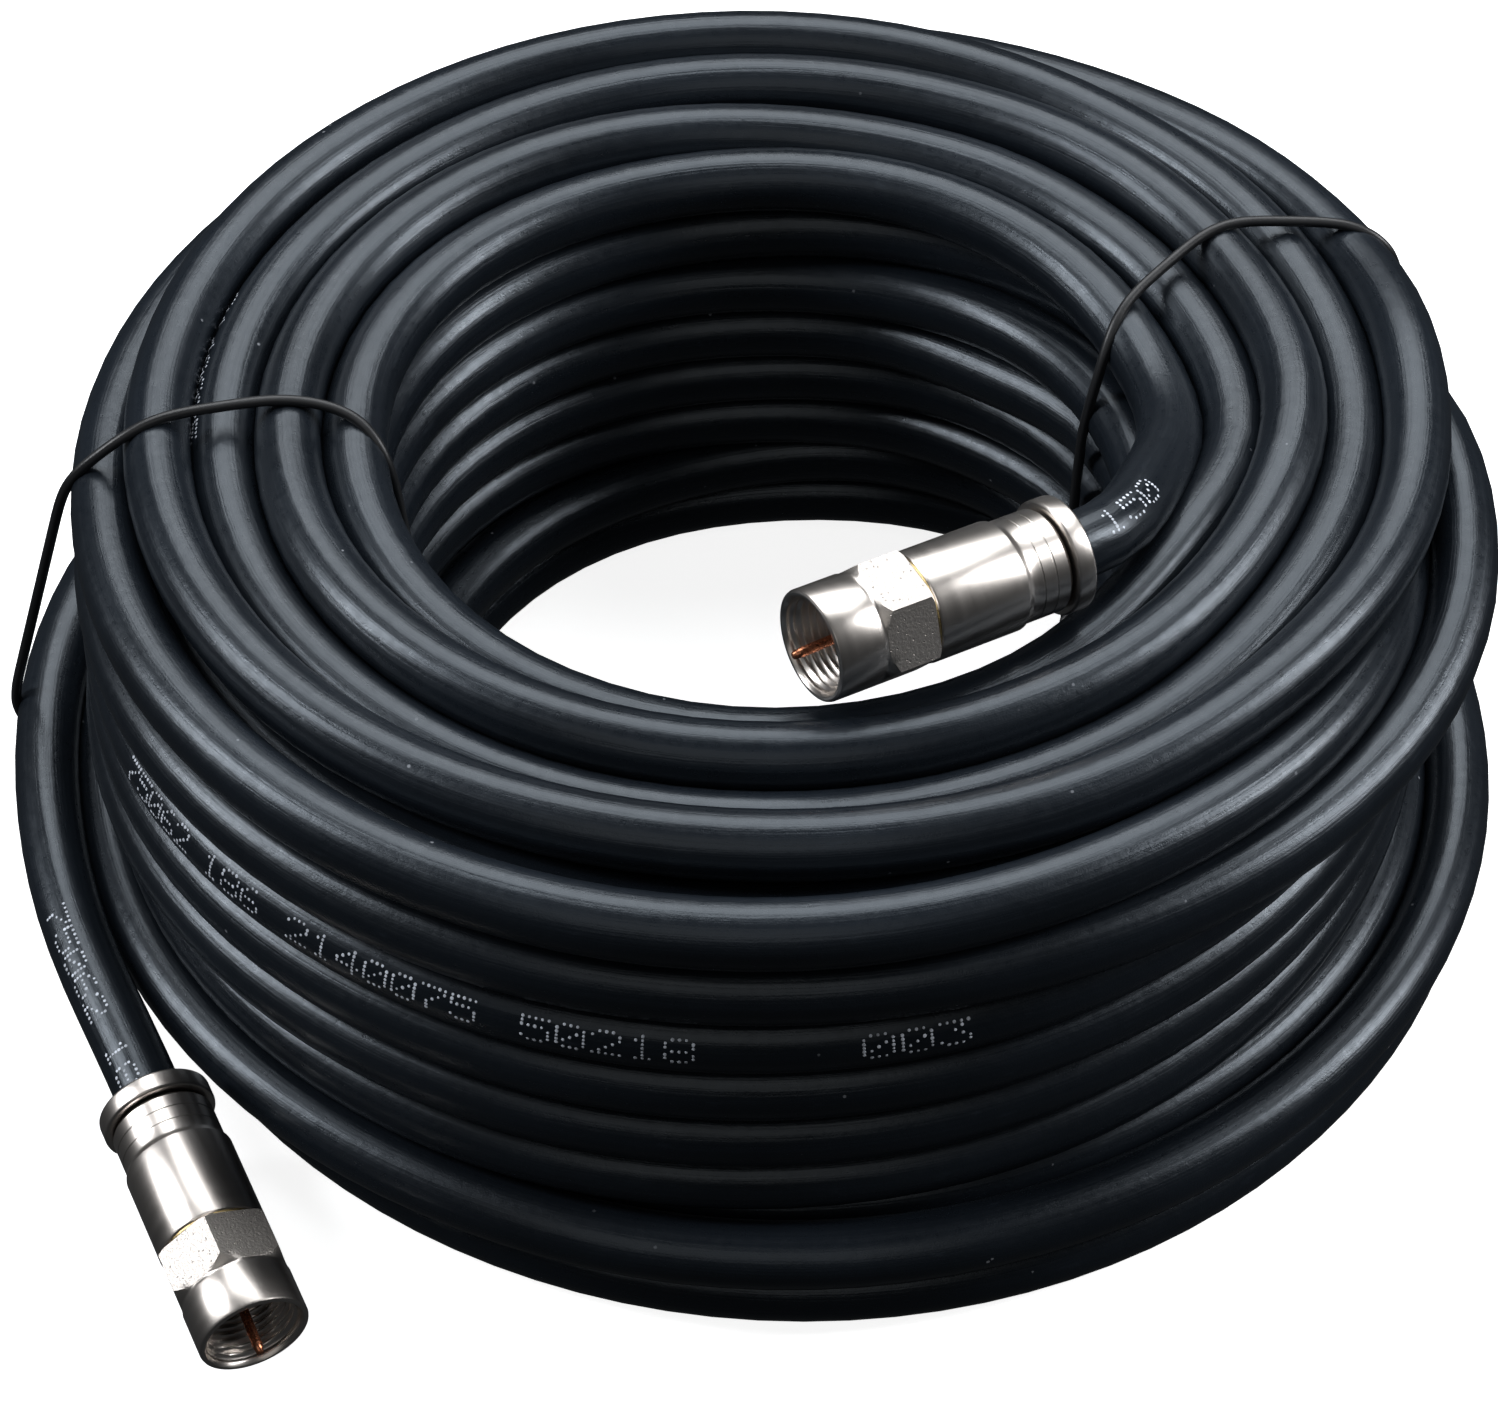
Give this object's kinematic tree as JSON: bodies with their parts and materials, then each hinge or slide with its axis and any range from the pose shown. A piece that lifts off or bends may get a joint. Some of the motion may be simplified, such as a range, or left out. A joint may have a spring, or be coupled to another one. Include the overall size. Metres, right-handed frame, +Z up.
{
  "type": "coaxial cable coil",
  "caption": "Coil of black coaxial cable lying flat, held by wire ties, with a screw-on connector whose coupling nut turns freely on each end.",
  "frame": {"origin": "middle of the part's box, on the level surface that the coil lies on", "axes": "+Z up along the coil's axis, +X to the right and +Y away from the viewer of the picture, the left connector points towards -Y"},
  "size_m": [0.1626, 0.1568, 0.0668],
  "materials": {
    "jacket": "satin",
    "tie_coating": "satin",
    "nickel": "polished",
    "copper": "bright drawn copper",
    "foam": "matt"
  },
  "bodies": {
    "winding": {"coil": "jacket", "cable_tail_left": "jacket", "cable_tail_right": "jacket", "tie_left": "tie_coating", "tie_right": "tie_coating", "compression_ring_left": "nickel", "connector_body_left": "nickel", "centre_post_left": "nickel", "dielectric_left": "foam", "centre_pin_left": "copper", "compression_ring_right": "nickel", "connector_body_right": "nickel", "centre_post_right": "nickel", "dielectric_right": "foam", "centre_pin_right": "copper"},
    "nut_left": {"coupling_nut_left": "nickel"},
    "nut_right": {"coupling_nut_right": "nickel"}
  },
  "joints": [
    {"name": "nut_left_spin", "type": "hinge", "parent": "winding", "child": "nut_left", "pos_m": [-0.0496, -0.071, 0.00737], "axis": [0.4185, -0.9043, -0.0845], "continuous": true},
    {"name": "nut_right_spin", "type": "hinge", "parent": "winding", "child": "nut_right", "pos_m": [0.01122, -0.03183, 0.0608], "axis": [-0.8508, -0.5206, 0.0709], "continuous": true}
  ]
}
